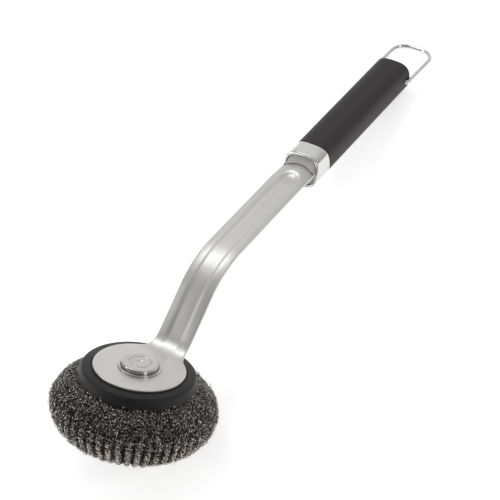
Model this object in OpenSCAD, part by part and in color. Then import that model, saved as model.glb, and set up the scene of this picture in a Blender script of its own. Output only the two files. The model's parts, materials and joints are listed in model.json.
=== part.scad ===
// Grill cleaning brush with a replaceable round mesh scrub head, a bent steel arm,
// a soft grip in a bright collar, and a swinging wire loop to hang it by.
//
// Everything is drawn upright first: the steel plate lies flat with its top at z = 0 and its
// centre on the z axis, and the arm leaves it towards +X. The whole brush is then tipped
// forward by rest_tilt, so that it lies as it does on a table: on the pad's lower rim and on
// the far end of the grip.

/* [Scrub head] */
// Radius of the steel plate that covers the head
plate_r = 32; // [31:0.5:32.5]
// Radius of the backing ring at its lower edge
ring_r = 41.3; // [41:0.1:42]
// Largest radius of the mesh pad
pad_r = 58.4; // [55:0.2:62]
// Depth of the pad's underside below the plate
pad_depth = 54.3; // [52:0.1:58]
// Radius of the flat part of the pad's underside
pad_flat_r = 29; // [24:1:34]

/* [Release button] */
// Radius of the button's cap
cap_r = 13; // [12.6:0.1:13.1]
// Height of the cap above the plate
cap_top = 3.7; // [3.5:0.1:4.5]
// How far the button goes down
press_travel = 2.2; // [1.5:0.1:2.3]
// Radius of the bezel around the cap
bezel_r = 15.1; // [14.8:0.1:16]

/* [Arm] */
// Width of the arm
arm_w = 27; // [25:0.2:27.2]
// Thickness of the sheet steel
arm_t = 2; // [1.8:0.1:2.2]
// Slope of the steep part next to the head
neck_slope = 60; // [55:1:64]
// Width of the channel pressed into the arm
channel_w = 14; // [8:0.5:14]
// Depth of the channel pressed into the arm
channel_d = 1.1; // [0.5:0.1:1.2]

/* [Handle] */
// Slope of the handle, and of the arm where it meets it
handle_slope = 23; // [21:0.5:25]
// Width of the grip and of the collar
grip_w = 30; // [29.8:0.1:30.2]
// Height of the grip and of the collar
grip_h = 24.2; // [23.6:0.1:24.6]
// Length of the collar
collar_len = 16.2; // [14:0.1:20]
// Length of the collar and the grip together
handle_len = 138.8; // [130:0.1:150]
// Thickness of the collar's wall
collar_wall = 1.1; // [1:0.1:1.1]

/* [Hanging loop] */
// Radius of the loop's wire
loop_wire_r = 1.6; // [1.4:0.05:1.6]
// Half the width of the loop, between the middles of its legs
loop_half_w = 16.9; // [16.9:0.1:18]
// Distance from the loop's pivot to the middle of its far end
loop_reach = 45.9; // [44:0.1:60]
// Distance from the loop's pivot to the end of the grip
loop_inset = 8; // [7:0.5:10]

/* [Pose] */
// How far the brush is tipped forward when it lies on a table
rest_tilt = 36.2; // [35:0.05:38]

/* [Hidden] */
$fn = 96;
gap = 0.05;
run = 0.3;

// Heights of the parts of the head, along its own axis.
seat_z = -2.3;
deck_t = 2.6;
ring_bottom = -10.1;
pocket_floor = -12.4;
floor_t = 2.2;
flange_t = 1.6;
clamp_t = 2;
flange_z = pocket_floor - floor_t;
clamp_z = flange_z - flange_t;
core_z = clamp_z - clamp_t;

// Radii of the parts of the head.
pocket_r = 19.4;
pocket_wall = 2.2;
skirt_in_r = ring_r - 2.7;
clamp_r = 36;
flange_r = 20;
ridge_r = plate_r + 1;

// The pad's outline: a bulge from the ring out to its widest, then a rounder one down to the
// flat underside.
pad_neck_r = 34.5;
pad_neck_z = -8;
pad_wide_z = -29;
pad_start_angle = 65;
bulge_top = 1.58;
bulge_bottom = 2.06;
dimple_r = 7;
dimple_depth = 5;

// The core inside the pad.
core_r = 43;
core_round = 9;
core_bottom = -44;

// The release: a grooved post on the head, held by a split ring in the button's housing.
post_r = 5.6;
post_top = -3;
groove_r = 4.3;
groove_top = -6.5;
groove_bottom = -8.5;
clip_r = 5.2;
clip_wire_r = 0.7;
clip_z = -7.5;
clip_opening = 70;
tube_r = 14;
chamber_r = 12;
shelf_top = -5;
shelf_bottom = -6.6;
shelf_r = 7.1;
clip_space_r = 7.7;
retainer_z = -8.4;
retainer_t = 1.2;
retainer_r = 9.2;
housing_bottom = -10.4;
cap_roof = 1.6;
cap_skirt_r = chamber_r - run;
cap_skirt_bottom = shelf_top + press_travel + 0.4;
sleeve_in_r = post_r + 0.35;
sleeve_r = shelf_r - run;
sleeve_flange_t = 1;
sleeve_flange_z = cap_top - cap_roof;
sleeve_bottom = clip_z + press_travel - 0.6;
spring_r = 8.7;
spring_wire_r = 0.4;
spring_turns = 3.5;
spring_sides = 8;
spring_steps = 16;

// Screws that hold the head together.
screw_circle_r = 15.5;
screw_count = 3;
screw_r = 1.4;
screw_head_r = 2.6;
stud_r = 2.5;

// The arm's side view, along its top face: flat on the head, up the neck, over the bend and
// along to the tang in the handle.
neck_x = 33.5;
neck_round = 18;
knee_x = 66.8;
knee_z = 57.6;
knee_round = 67;
neck_tangent = neck_round * tan(neck_slope / 2);
knee_tangent = knee_round * tan((neck_slope - handle_slope) / 2);
knee_start = [knee_x - knee_tangent * cos(neck_slope), knee_z - knee_tangent * sin(neck_slope)];
knee_centre = knee_start + knee_round * [sin(neck_slope), -cos(neck_slope)];
joint_fillet = 10;

// The handle's own frame: its origin is arm_drop above the arm at the collar's mouth, +X runs
// along the handle and +Z square to it. The grip's middle line is bar_drop below it.
handle_x = 176.8;
arm_drop = 6.6;
bar_drop = 9.9;
arm_top_here = knee_z + (handle_x - knee_x) * tan(handle_slope);
handle_z = arm_top_here + arm_drop / cos(handle_slope);
tang_w = 16;
tang_start = 5;
tang_end = 76;
channel_start_x = 39;
channel_end_x = handle_x - 13;
section_power = 3;
section_points = 64;
core_w = 22;
core_h = 16;
mouth_u = 2;
mouth_lean = 21;
mouth_reach = 9;
plug_recess = 1.4;
end_cap_t = 5;
rivet_r = 2;
rivet_places = [32, 62];
bushing_r = 3;
bushing_in = 9.6;
pin_in = 10.2;
pin_out = 15;
pin_clearance = 0.05;
loop_place = [handle_len - loop_inset, 0, -bar_drop];

// The loop's far end is two round corners and a straight piece across.
loop_bend_r = loop_half_w - pin_out;
loop_corner_r = 12;
loop_leg_end = loop_reach - loop_corner_r;

// Where the table is, and where the middle of the brush is, once it has been tipped.
function tipped_x(x, z) = x * cos(rest_tilt) + z * sin(rest_tilt);
function tipped_z(x, z) = z * cos(rest_tilt) - x * sin(rest_tilt);
function from_handle(u, v) = [
    handle_x + u * cos(handle_slope) - v * sin(handle_slope),
    handle_z + u * sin(handle_slope) + v * cos(handle_slope)
];
grip_heel = from_handle(handle_len, -bar_drop - grip_h / 2);
loop_pivot = from_handle(loop_place[0], loop_place[2]);
table_z = min(concat(
    [for (p = pad_outline()) tipped_z(p[0], p[1])],
    [tipped_z(grip_heel[0], grip_heel[1])]
));
pivot_height = tipped_z(loop_pivot[0], loop_pivot[1]) - table_z;
loop_drop = asin((pivot_height - loop_wire_r) / loop_reach);
loop_lift = rest_tilt - handle_slope - loop_drop;
pad_end_x = min([for (p = pad_outline()) tipped_x(-p[0], p[1])]);
loop_end_x = tipped_x(loop_pivot[0], loop_pivot[1]) + loop_reach * cos(loop_drop) + loop_wire_r;
middle_x = (pad_end_x + loop_end_x) / 2;

// ---- shared shapes ----

function arc(centre, r, from, to, steps = 12) = [
    for (i = [0:steps])
        let (a = from + (to - from) * i / steps)
            [centre[0] + r * cos(a), centre[1] + r * sin(a)]
];

function reversed(list) = [for (i = [len(list) - 1:-1:0]) list[i]];

module at_rest() {
    translate([-middle_x, 0, -table_z]) rotate([0, rest_tilt, 0]) children();
}

module on_handle() {
    translate([handle_x, 0, handle_z]) rotate([0, -handle_slope, 0]) children();
}

module tube(outer, inner, bottom, top) {
    difference() {
        translate([0, 0, bottom]) cylinder(h = top - bottom, r = outer);
        translate([0, 0, bottom - 1]) cylinder(h = top - bottom + 2, r = inner);
    }
}

module disc(r, bottom, top) {
    translate([0, 0, bottom]) cylinder(h = top - bottom, r = r);
}

module around_screws() {
    for (i = [0:screw_count - 1]) screw_place(i) children();
}

module screw_place(i) {
    rotate([0, 0, 60 + i * 360 / screw_count]) translate([screw_circle_r, 0, 0]) children();
}

// ---- arm ----

// The arm's top face lowered by d, from the plate's far edge to the end of the tang.
function arm_line(d) = concat(
    [[-plate_r - 1, -d]],
    arc([neck_x - neck_tangent, neck_round], neck_round + d, -90, neck_slope - 90),
    arc(knee_centre, knee_round - d, neck_slope + 90, handle_slope + 90),
    [from_handle(tang_end, -arm_drop - d)]
);

module arm_layer(from, to, width) {
    rotate([90, 0, 0])
        linear_extrude(height = width, center = true)
            polygon(concat(arm_line(from), reversed(arm_line(to))));
}

// Plan view of the arm: the round plate, the strip with a fillet on each side, and the tang.
module arm_plan() {
    fillet_x = sqrt(pow(plate_r + joint_fillet, 2) - pow(arm_w / 2 + joint_fillet, 2));
    strip_end = from_handle(tang_start, -arm_drop)[0];
    tang_tip = from_handle(tang_end, -arm_drop)[0] + 2;
    circle(r = plate_r);
    translate([0, -arm_w / 2]) square([strip_end, arm_w]);
    translate([0, -tang_w / 2]) square([tang_tip, tang_w]);
    for (side = [-1, 1])
        difference() {
            polygon([
                [0, 0],
                [fillet_x, 0],
                [fillet_x, side * (arm_w / 2 + joint_fillet)]
            ]);
            translate([fillet_x, side * (arm_w / 2 + joint_fillet)]) circle(r = joint_fillet);
        }
}

module channel_plan(width) {
    for (x = [channel_start_x + width / 2, channel_end_x - width / 2])
        translate([x, 0]) circle(r = width / 2);
    translate([channel_start_x + width / 2, -width / 2])
        square([channel_end_x - channel_start_x - width, width]);
}

module arm_channel(from, to, width) {
    intersection() {
        arm_layer(from, to, width + 2);
        translate([0, 0, -20]) linear_extrude(height = 260) channel_plan(width);
    }
}

module arm() {
    color("silver")
        at_rest()
            difference() {
                union() {
                    intersection() {
                        arm_layer(0, arm_t, 4 * plate_r);
                        translate([0, 0, -20]) linear_extrude(height = 260) arm_plan();
                    }
                    arm_channel(arm_t - 0.2, arm_t + channel_d, channel_w + arm_t);
                }
                arm_channel(-1, channel_d, channel_w);
                disc(tube_r + gap, -arm_t - 1, 1);
                on_handle()
                    for (u = rivet_places)
                        translate([u, 0, -arm_drop - arm_t - 2])
                            cylinder(h = arm_t + 4, r = rivet_r + gap);
            }
}

// ---- release button and its housing ----

module button_housing() {
    color("silver")
        at_rest()
            rotate_extrude()
                polygon([
                    [bezel_r - 0.5, 1],
                    [cap_r + run, 1],
                    [cap_r + run, -1.8],
                    [chamber_r, -1.8],
                    [chamber_r, shelf_top],
                    [shelf_r, shelf_top],
                    [shelf_r, shelf_bottom],
                    [clip_space_r, shelf_bottom],
                    [clip_space_r, retainer_z],
                    [retainer_r + gap, retainer_z],
                    [retainer_r + gap, housing_bottom],
                    [retainer_r + 2.2, housing_bottom],
                    [retainer_r + 2.2, -7],
                    [tube_r, -7],
                    [tube_r, 0],
                    [bezel_r, 0],
                    [bezel_r, 0.5]
                ]);
}

// Threaded ring that clamps the housing's bezel down on the plate, with spanner notches.
module housing_nut() {
    nut_t = 2.6;
    color("dimgray")
        at_rest()
            difference() {
                tube(pocket_r - 1, tube_r + gap, -arm_t - nut_t, -arm_t);
                for (a = [0:90:270])
                    rotate([0, 0, a])
                        translate([pocket_r - 2.6, -1.5, -arm_t - nut_t - 1]) cube([4, 3, nut_t + 2]);
            }
}

// Split wire ring that snaps into the post's groove.
module release_clip() {
    color("gray")
        at_rest()
            rotate([0, 0, clip_opening / 2])
                translate([0, 0, clip_z])
                    rotate_extrude(angle = 360 - clip_opening)
                        translate([clip_r, 0]) circle(r = clip_wire_r, $fn = 24);
}

module clip_retainer() {
    color("gray")
        at_rest() tube(retainer_r, post_r + run, retainer_z - retainer_t, retainer_z);
}

function coil_point(turn, b) = [
    (spring_r + spring_wire_r * cos(b)) * cos(360 * turn),
    (spring_r + spring_wire_r * cos(b)) * sin(360 * turn),
    spring_wire_r * sin(b)
];

// Compression spring between the housing's shelf and the sleeve's flange.
module button_spring() {
    rings = spring_turns * spring_steps;
    low = shelf_top + spring_wire_r + gap;
    high = sleeve_flange_z - sleeve_flange_t - spring_wire_r - gap;
    points = [
        for (i = [0:rings], j = [0:spring_sides - 1])
            coil_point(i / spring_steps, 360 * j / spring_sides)
                + [0, 0, low + (high - low) * i / rings]
    ];
    sides = [
        for (i = [0:rings - 1], j = [0:spring_sides - 1])
            let (k = (j + 1) % spring_sides)
                [
                    i * spring_sides + j,
                    (i + 1) * spring_sides + j,
                    (i + 1) * spring_sides + k,
                    i * spring_sides + k
                ]
    ];
    ends = [
        [for (j = [0:spring_sides - 1]) j],
        [for (j = [spring_sides - 1:-1:0]) rings * spring_sides + j]
    ];
    color("gray") at_rest() polyhedron(points, concat(sides, ends));
}

// The cap carries a plain ring and a centre dot pressed into its top.
module button_cap() {
    edge = 1.1;
    color("gainsboro")
        at_rest()
            difference() {
                rotate_extrude()
                    polygon(concat(
                        [[0, sleeve_flange_z], [0, cap_top]],
                        arc([cap_r - edge, cap_top - edge], edge, 90, 0, 6),
                        [
                            [cap_r, 1.5],
                            [cap_skirt_r, 1.5],
                            [cap_skirt_r, cap_skirt_bottom],
                            [cap_skirt_r - 1.2, cap_skirt_bottom],
                            [cap_skirt_r - 1.2, sleeve_flange_z]
                        ]
                    ));
                tube(8, 7.3, cap_top - 0.3, cap_top + 1);
                disc(2, cap_top - 0.3, cap_top + 1);
                disc(1.2 + gap, sleeve_flange_z - 1, cap_top - 0.7);
            }
}

// Sleeve that spreads the split ring when the button is pushed down.
module release_sleeve() {
    color("dimgray")
        at_rest()
            rotate_extrude()
                polygon([
                    [1.25, sleeve_flange_z],
                    [cap_skirt_r - 1.3, sleeve_flange_z],
                    [cap_skirt_r - 1.3, sleeve_flange_z - sleeve_flange_t],
                    [sleeve_r, sleeve_flange_z - sleeve_flange_t],
                    [sleeve_r, sleeve_bottom + 0.6],
                    [sleeve_in_r + 0.2, sleeve_bottom],
                    [sleeve_in_r, sleeve_bottom],
                    [sleeve_in_r, sleeve_flange_z - sleeve_flange_t],
                    [1.25, sleeve_flange_z - sleeve_flange_t]
                ]);
}

module cap_screw() {
    head_top = sleeve_flange_z - sleeve_flange_t;
    color("gray")
        at_rest() {
            disc(1.2, head_top - 0.5, cap_top - 0.8);
            disc(2.2, head_top - 1.3, head_top);
        }
}

// ---- scrub head ----

module backing_ring() {
    shoulder = 2;
    top_r = 39.3;
    color("#383638")
        at_rest()
            difference() {
                rotate_extrude()
                    polygon(concat(
                        [
                            [post_r + gap, flange_z],
                            [pocket_r + pocket_wall, flange_z],
                            [pocket_r + pocket_wall, seat_z - deck_t],
                            [skirt_in_r, seat_z - deck_t],
                            [skirt_in_r, ring_bottom],
                            [ring_r, ring_bottom]
                        ],
                        arc([top_r - shoulder, seat_z - shoulder], shoulder, 10, 85, 8),
                        [
                            [ridge_r + 1, seat_z + 0.7],
                            [ridge_r, seat_z + 0.7],
                            [ridge_r, seat_z],
                            [pocket_r, seat_z],
                            [pocket_r, pocket_floor],
                            [post_r + gap, pocket_floor]
                        ]
                    ));
                around_screws() disc(screw_r + gap, flange_z - 1, pocket_floor + 1);
            }
}

// Grooved post that the housing's split ring holds, with a flange under the ring's floor.
module hub_post() {
    color("silver")
        at_rest()
            difference() {
                rotate_extrude()
                    polygon([
                        [0, post_top],
                        [post_r - 1.2, post_top],
                        [post_r, post_top - 1.2],
                        [post_r, groove_top],
                        [groove_r, groove_top],
                        [groove_r, groove_bottom],
                        [post_r, groove_bottom],
                        [post_r, flange_z],
                        [flange_r, flange_z],
                        [flange_r, clamp_z],
                        [stud_r, clamp_z],
                        [stud_r, core_z - 4.5],
                        [0, core_z - 4.5]
                    ]);
                around_screws() disc(screw_r + gap, clamp_z - 1, flange_z + 1);
            }
}

module post_nut() {
    color("gray")
        at_rest()
            difference() {
                translate([0, 0, core_z - 3]) cylinder(h = 3, r = 4.6, $fn = 6);
                disc(stud_r + gap, core_z - 4, core_z + 1);
            }
}

module clamp_plate() {
    color("silver")
        at_rest()
            difference() {
                disc(clamp_r - run, core_z, clamp_z);
                disc(stud_r + gap, core_z - 1, clamp_z + 1);
                around_screws() disc(screw_r + gap, core_z - 1, clamp_z + 1);
            }
}

module clamp_screw(i) {
    head_h = 1.5;
    color("gray")
        at_rest()
            screw_place(i)
                difference() {
                    union() {
                        disc(screw_r, core_z, pocket_floor);
                        disc(screw_head_r, pocket_floor, pocket_floor + head_h);
                    }
                    translate([0, 0, pocket_floor + head_h - 0.6]) {
                        translate([-0.4, -1.8, 0]) cube([0.8, 3.6, 1]);
                        translate([-1.8, -0.4, 0]) cube([3.6, 0.8, 1]);
                    }
                }
}

// Springy core that keeps the pad round.
module core_shape(grow) {
    r = core_r + grow;
    low = core_bottom - grow;
    rotate_extrude()
        polygon(concat(
            [[0, core_z], [r, core_z]],
            arc([r - core_round, low + core_round], core_round, 0, -90, 8),
            [[0, low]]
        ));
}

module pad_core() {
    color("#6a665f")
        at_rest()
            difference() {
                core_shape(0);
                disc(6, core_z - 6, core_z + 1);
            }
}

// Outline of the pad from under the ring, round its widest, to the flat of its underside.
function pad_outline() = concat(
    [
        for (i = [0:8])
            let (a = pad_start_angle * (1 - i / 8))
                [
                    pad_neck_r + (pad_r - pad_neck_r) * pow(cos(a), 2 / bulge_top),
                    pad_wide_z + (pad_neck_z - pad_wide_z) * pow(sin(a), 2 / bulge_top)
                ]
    ],
    [
        for (i = [1:14])
            let (a = 90 * i / 14)
                [
                    pad_flat_r + (pad_r - pad_flat_r) * pow(cos(a), 2 / bulge_bottom),
                    pad_wide_z - (pad_depth + pad_wide_z) * pow(sin(a), 2 / bulge_bottom)
                ]
    ]
);

// Knitted wire cloth gathered over the core: a closed solid of its outer shape.
module mesh_pad() {
    edge_top = -7.2;
    under_ring = pad_outline()[0];
    color("#4b4640")
        at_rest()
            difference() {
                rotate_extrude()
                    polygon(concat(
                        [
                            [clamp_r, core_z],
                            [clamp_r, edge_top],
                            [skirt_in_r - 0.2, edge_top],
                            [skirt_in_r - 0.2, under_ring[1]]
                        ],
                        pad_outline(),
                        [
                            [dimple_r, -pad_depth],
                            [dimple_r - 3, dimple_depth - pad_depth],
                            [0, dimple_depth - pad_depth],
                            [0, core_z]
                        ]
                    ));
                core_shape(0.1);
            }
}

// Wire drawn through the mesh's upper hem, inside the ring's skirt.
module hem_wire() {
    hem_r = 0.8;
    color("gray")
        at_rest()
            translate([0, 0, -6.2])
                rotate_extrude()
                    translate([(clamp_r + skirt_in_r) / 2, 0]) circle(r = hem_r, $fn = 24);
}

// Ring that closes the gathered mesh in the dimple of the underside.
module tie_ring() {
    color("gray")
        at_rest()
            translate([0, 0, dimple_depth - pad_depth - 0.75])
                rotate_extrude()
                    translate([2.6, 0]) circle(r = 0.7, $fn = 24);
}

// ---- handle ----

// Rounded box outline with a crowned top, as a power curve.
function section(w, h) = [
    for (i = [0:section_points - 1])
        let (a = 360 * (i + 0.5) / section_points)
            [
                w / 2 * sign(cos(a)) * pow(abs(cos(a)), 2 / section_power),
                h / 2 * sign(sin(a)) * pow(abs(sin(a)), 2 / section_power)
            ]
];

// A length of handle from u0 to u1, centred on the handle's middle line.
module bar(w, h, u0, u1) {
    translate([u0, 0, -bar_drop])
        rotate([90, 0, 90])
            linear_extrude(height = u1 - u0)
                polygon(section(w, h));
}

module tang_slot() {
    translate([-1, -tang_w / 2 - gap, -arm_drop - arm_t - gap])
        cube([tang_end + 1.5, tang_w + 2 * gap, arm_t + 2 * gap]);
}

// Everything in front of the collar's mouth, which leans forward at the bottom.
module before_mouth(back) {
    depth = 40;
    translate([mouth_u + back, 0, 0])
        rotate([0, mouth_lean, 0])
            translate([-depth, -grip_w, -2 * grip_h]) cube([depth, 2 * grip_w, 4 * grip_h]);
}

module collar() {
    inner_w = grip_w - 2 * collar_wall;
    inner_h = grip_h - 2 * collar_wall;
    color("#d9d9d9")
        at_rest()
            on_handle()
                difference() {
                    bar(grip_w, grip_h, -mouth_reach, collar_len);
                    before_mouth(0);
                    bar(inner_w, inner_h, -mouth_reach - 1, collar_len + 1);
                }
}

// Plug that closes the collar's mouth above and below the arm, with its face set back a little.
module collar_plug() {
    inner_w = grip_w - 2 * collar_wall - 2 * gap;
    inner_h = grip_h - 2 * collar_wall - 2 * gap;
    color("#6f6c6a")
        at_rest()
            on_handle()
                difference() {
                    bar(inner_w, inner_h, -mouth_reach, collar_len);
                    before_mouth(plug_recess);
                    tang_slot();
                    translate([-mouth_reach - 1, -grip_w, -arm_drop - arm_t - gap])
                        cube([mouth_reach + tang_start + 2, 2 * grip_w, arm_t + 2 * gap]);
                }
}

module bushing_holes(r) {
    for (side = [-1, 1])
        translate([loop_place[0], side * (bushing_in + grip_w / 2), loop_place[2]])
            rotate([90, 0, 0]) cylinder(h = grip_w, r = r, center = true);
}

module grip() {
    color("#454242")
        at_rest()
            on_handle()
                difference() {
                    bar(grip_w, grip_h, collar_len, handle_len);
                    bar(core_w + 2 * gap, core_h + 2 * gap, collar_len - 1, handle_len + 1);
                    bushing_holes(bushing_r + gap);
                }
}

module handle_core() {
    color("#2c2c2c")
        at_rest()
            on_handle()
                difference() {
                    bar(core_w, core_h, collar_len, handle_len - end_cap_t);
                    tang_slot();
                    bushing_holes(bushing_r + gap);
                    for (u = rivet_places)
                        translate([u, 0, -bar_drop])
                            cylinder(h = core_h + 2, r = rivet_r + gap, center = true);
                }
}

module tang_rivet(u) {
    color("silver")
        at_rest()
            on_handle()
                translate([u, 0, -bar_drop]) cylinder(h = core_h - 1, r = rivet_r, center = true);
}

module end_cap() {
    color("#2c2c2c")
        at_rest()
            on_handle()
                difference() {
                    bar(core_w, core_h, handle_len - end_cap_t, handle_len);
                    bushing_holes(bushing_r + gap);
                }
}

module loop_bushing(side) {
    outer = grip_w / 2 - 0.1;
    color("gray")
        at_rest()
            on_handle()
                translate(loop_place)
                    rotate([-90 * side, 0, 0])
                        difference() {
                            disc(bushing_r, bushing_in, outer);
                            disc(loop_wire_r + pin_clearance, bushing_in - 1, outer + 1);
                        }
}

// ---- hanging loop ----

// A right-angled bend of round wire in the loop's plane, starting at an angle about its centre.
module wire_bend(centre, r, from) {
    translate([centre[0], centre[1], 0])
        rotate([0, 0, from])
            rotate_extrude(angle = 90)
                translate([r, 0]) circle(r = loop_wire_r, $fn = 32);
}

module loop_half() {
    translate([0, pin_in, 0]) rotate([-90, 0, 0]) cylinder(h = pin_out - pin_in, r = loop_wire_r);
    wire_bend([loop_bend_r, pin_out], loop_bend_r, 90);
    translate([loop_bend_r, loop_half_w, 0])
        rotate([0, 90, 0]) cylinder(h = loop_leg_end - loop_bend_r, r = loop_wire_r);
    wire_bend([loop_leg_end, loop_half_w - loop_corner_r], loop_corner_r, 0);
}

module loop_cross_bar() {
    cross_half = loop_half_w - loop_corner_r;
    translate([loop_reach, -cross_half, 0])
        rotate([-90, 0, 0]) cylinder(h = 2 * cross_half, r = loop_wire_r);
}

module hanging_loop() {
    color("#cfcfcf")
        at_rest()
            on_handle()
                translate(loop_place)
                    rotate([0, -loop_lift, 0]) {
                        loop_half();
                        mirror([0, 1, 0]) loop_half();
                        loop_cross_bar();
                    }
}

arm();
button_housing();
housing_nut();
release_clip();
clip_retainer();
button_spring();
collar();
collar_plug();
grip();
handle_core();
tang_rivet(rivet_places[0]);  // tang_rivet_front
tang_rivet(rivet_places[1]);  // tang_rivet_rear
end_cap();
loop_bushing(1);  // loop_bushing_left
loop_bushing(-1);  // loop_bushing_right
button_cap();
release_sleeve();
cap_screw();
backing_ring();
hub_post();
post_nut();
clamp_plate();
clamp_screw(0);  // clamp_screw_a
clamp_screw(1);  // clamp_screw_b
clamp_screw(2);  // clamp_screw_c
pad_core();
mesh_pad();
hem_wire();
tie_ring();
hanging_loop();
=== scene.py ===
"""Looks of the grill cleaning brush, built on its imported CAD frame.

Pieces are drawn in millimetres in the brush's upright frame, where the steel plate lies flat
with its top at z = 0, and are then placed in the row frame, where the brush lies on a table.
"""

import json
import math

import bpy
import numpy as np
from mathutils import Matrix, Vector, geometry


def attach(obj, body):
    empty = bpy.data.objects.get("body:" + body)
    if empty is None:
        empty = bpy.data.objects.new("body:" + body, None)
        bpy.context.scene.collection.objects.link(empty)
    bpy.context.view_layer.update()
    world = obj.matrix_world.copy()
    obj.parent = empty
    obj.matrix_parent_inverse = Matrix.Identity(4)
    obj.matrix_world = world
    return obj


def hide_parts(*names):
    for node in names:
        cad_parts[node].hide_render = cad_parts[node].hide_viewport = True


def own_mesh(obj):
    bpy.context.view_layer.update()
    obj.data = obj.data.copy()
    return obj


MM = 0.001

# Head, in millimetres
PLATE_R = 32.0
RING_R = 41.3
RING_TOP_R = 39.3
RING_BOTTOM = -10.1
SEAT_Z = -2.3
POCKET_R = 19.4
POCKET_FLOOR = -12.4
POST_R = 5.6
FACE_OFFSET = 18.0

# Scrub pad: its outline, then the soft ribs in its lower half
PAD_R = 58.4
PAD_DEPTH = 54.3
PAD_FLAT_R = 29.0
PAD_WIDE_Z = -29.0
PAD_NECK = (34.5, -8.0)
PAD_TOP_POWER = 1.58
PAD_LOW_POWER = 2.06
PLEATS = 27
PLEAT_RISE = 2.6
PLEAT_SINK = 2.2
PLEAT_START = PAD_WIDE_Z + 9
PLEAT_GROWTH = 14.0
WIRE_CLEAR = 0.3
BACK_DEPTH = 2.6

# Painted shade between the ribs and painted highlight on their crests, by distance down the pad and round it on
# its uv
PAD_ROUND = 314.0
FURROW_FROM = 24.0
FURROW_FULL = 38.0
FURROW_SHADE = 0.28
FURROW_EDGE = 0.62

# Knitted loops: how far they sway, arch and stray from an even stitch
LOOP_SWAY = 0.24
LOOP_ARCH = 0.45
ROW_SHIFT = 0.05
STRAY_ROUND = 0.14
STRAY_HEIGHT = 0.12
STRAY_DOWN = 0.35
STRAY_OUT = 0.28
FUZZ_OUT = 0.07
STRAY_TWIST = 0.5

# Button
CAP_R = 13.0
CAP_TOP = 3.7
CAP_EDGE = 0.8
BEZEL_R = 15.1
TUBE_R = 14.0

# Arm: its bends, then its crown and pressed channel
ARM_W = 27.0
ARM_T = 2.0
NECK_X = 33.5
NECK_ROUND = 18.0
NECK_SLOPE = math.radians(60)
KNEE = (66.8, 57.6)
KNEE_ROUND = 67.0
ARM_FILLET = 12.0
TANG_W = 16.0
TANG_END = 76.0
SIDE_FLAT_Y = 14.5
SIDE_FADE = 8.0
STRIP_START = 30.0
ARM_CROWN = 1.0
CROWN_START = 40.0
CROWN_FADE = 25.0
MOUTH_CROWN = 1.6
CROWN_MIDDLE = 0.4
CHANNEL_R = 8.3
CHANNEL_WALL = 3.8
CHANNEL_D = 0.75
CHANNEL_START = 6.0
CHANNEL_FADE = 14.0
CHANNEL_END_WALL = 5.6
CHANNEL_END_D = 1.7
CHANNEL_STOP = 6.0
MOUTH_REACH = 22.0

# Handle
HANDLE_SLOPE = math.radians(23)
HANDLE_X = 176.8
ARM_DROP = 6.6
GRIP_W = 30.0
GRIP_H = 24.2
BAR_DROP = 9.9
SECTION_POWER = 3.0
COLLAR_LEN = 16.2
HANDLE_LEN = 138.8
MOUTH_U = 2.0
MOUTH_LEAN = math.tan(math.radians(21))
MOUTH_FADE = 9.0
LIP_W = 1.9
PLUG_BACK = 1.2
PLUG_INSET = LIP_W + 0.1
PLUG_SWELL = 5.0
PLUG_SWELL_AT = -8.0
PLUG_SWELL_H = 3.2
# thickness of the dark strip that paints the shade of the gap where the arm goes into the plug
GAP_SHADE_T = 0.4

# Hanging loop
LOOP_R = 1.75
LOOP_HALF_W = 16.9
LOOP_REACH = 45.9
LOOP_PIN_IN = 10.2
LOOP_BEND_R = 1.9
LOOP_CORNER_R = 12.0

# Stage, in metres
FLOOR_HALF = 6.0
FLOOR_GLOW = 0.60
STAGE_MIDDLE = Vector((-0.067, 0, 0.074))
LIGHT_DISTANCE = 1.2
SOFT_BOXES = [
    ("key_box", (0.41, 0.45, 0.80), (0.40, 0.30), 4.6),
    ("left_box", (-0.75, 0.9, 0.55), (0.16, 0.24), 18.0),
    ("near_box", (-0.9, 0.42, 0.13), (0.55, 0.3), 1.0),
    ("right_box", (0.10, -0.8, 0.6), (0.12, 0.12), 40.0),
]
BRIGHT_SIDE = (0.80, 0.50, 0.33)
SKY_LEVELS = [(0.0, 0.34), (0.35, 0.30), (0.62, 0.46), (0.8, 0.52), (1.0, 0.85)]

# Camera, in the upright frame, in millimetres
CAMERA_AT = (-695.1, -460.0, 468.8)
CAMERA_RIGHT = (0.5424, -0.8260, 0.1534)
CAMERA_VIEW = (0.7966, 0.4476, -0.4064)
CAMERA_LENS = 100.8


# ---- frames ----


def named(items, name):
    return next(i for i in items if i["name"] == name)


def upright_frame(record, joints):
    """Millimetres in the upright frame to metres in the row frame."""
    down = Vector(named(joints, "button_press")["axis"])
    tilt = math.atan2(-down.x, -down.z)
    turn = Matrix.Rotation(tilt, 4, "Y")
    face = Vector(named(record["mounts"], "scrub_face")["pos_m"])
    origin = face - turn @ (Vector((0, FACE_OFFSET, -PAD_DEPTH)) * MM)
    return Matrix.Translation(origin) @ turn @ Matrix.Scale(MM, 4)


def handle_frame(upright):
    """The handle's frame: +X along the grip, origin at the top of the collar's front edge."""
    arm_top = KNEE[1] + (HANDLE_X - KNEE[0]) * math.tan(HANDLE_SLOPE)
    top = arm_top + ARM_DROP / math.cos(HANDLE_SLOPE)
    place = Matrix.Translation((HANDLE_X, 0, top))
    return upright @ place @ Matrix.Rotation(-HANDLE_SLOPE, 4, "Y")


def loop_frame(joints):
    """The loop's frame: origin at its pivot, +X along its legs, which slope down to the table."""
    pivot = Vector(named(joints, "loop_swing")["pos_m"])
    drop = math.asin((pivot.z / MM - LOOP_R) / LOOP_REACH)
    return Matrix.Translation(pivot) @ Matrix.Rotation(drop, 4, "Y") @ Matrix.Scale(MM, 4)


# ---- outlines and skins ----


def arc_points(centre, radius, start, stop, steps):
    """Points on an arc, with angles in degrees."""
    angles = np.radians(np.linspace(start, stop, steps + 1))
    return [(centre[0] + radius * math.cos(a), centre[1] + radius * math.sin(a)) for a in angles]


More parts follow.
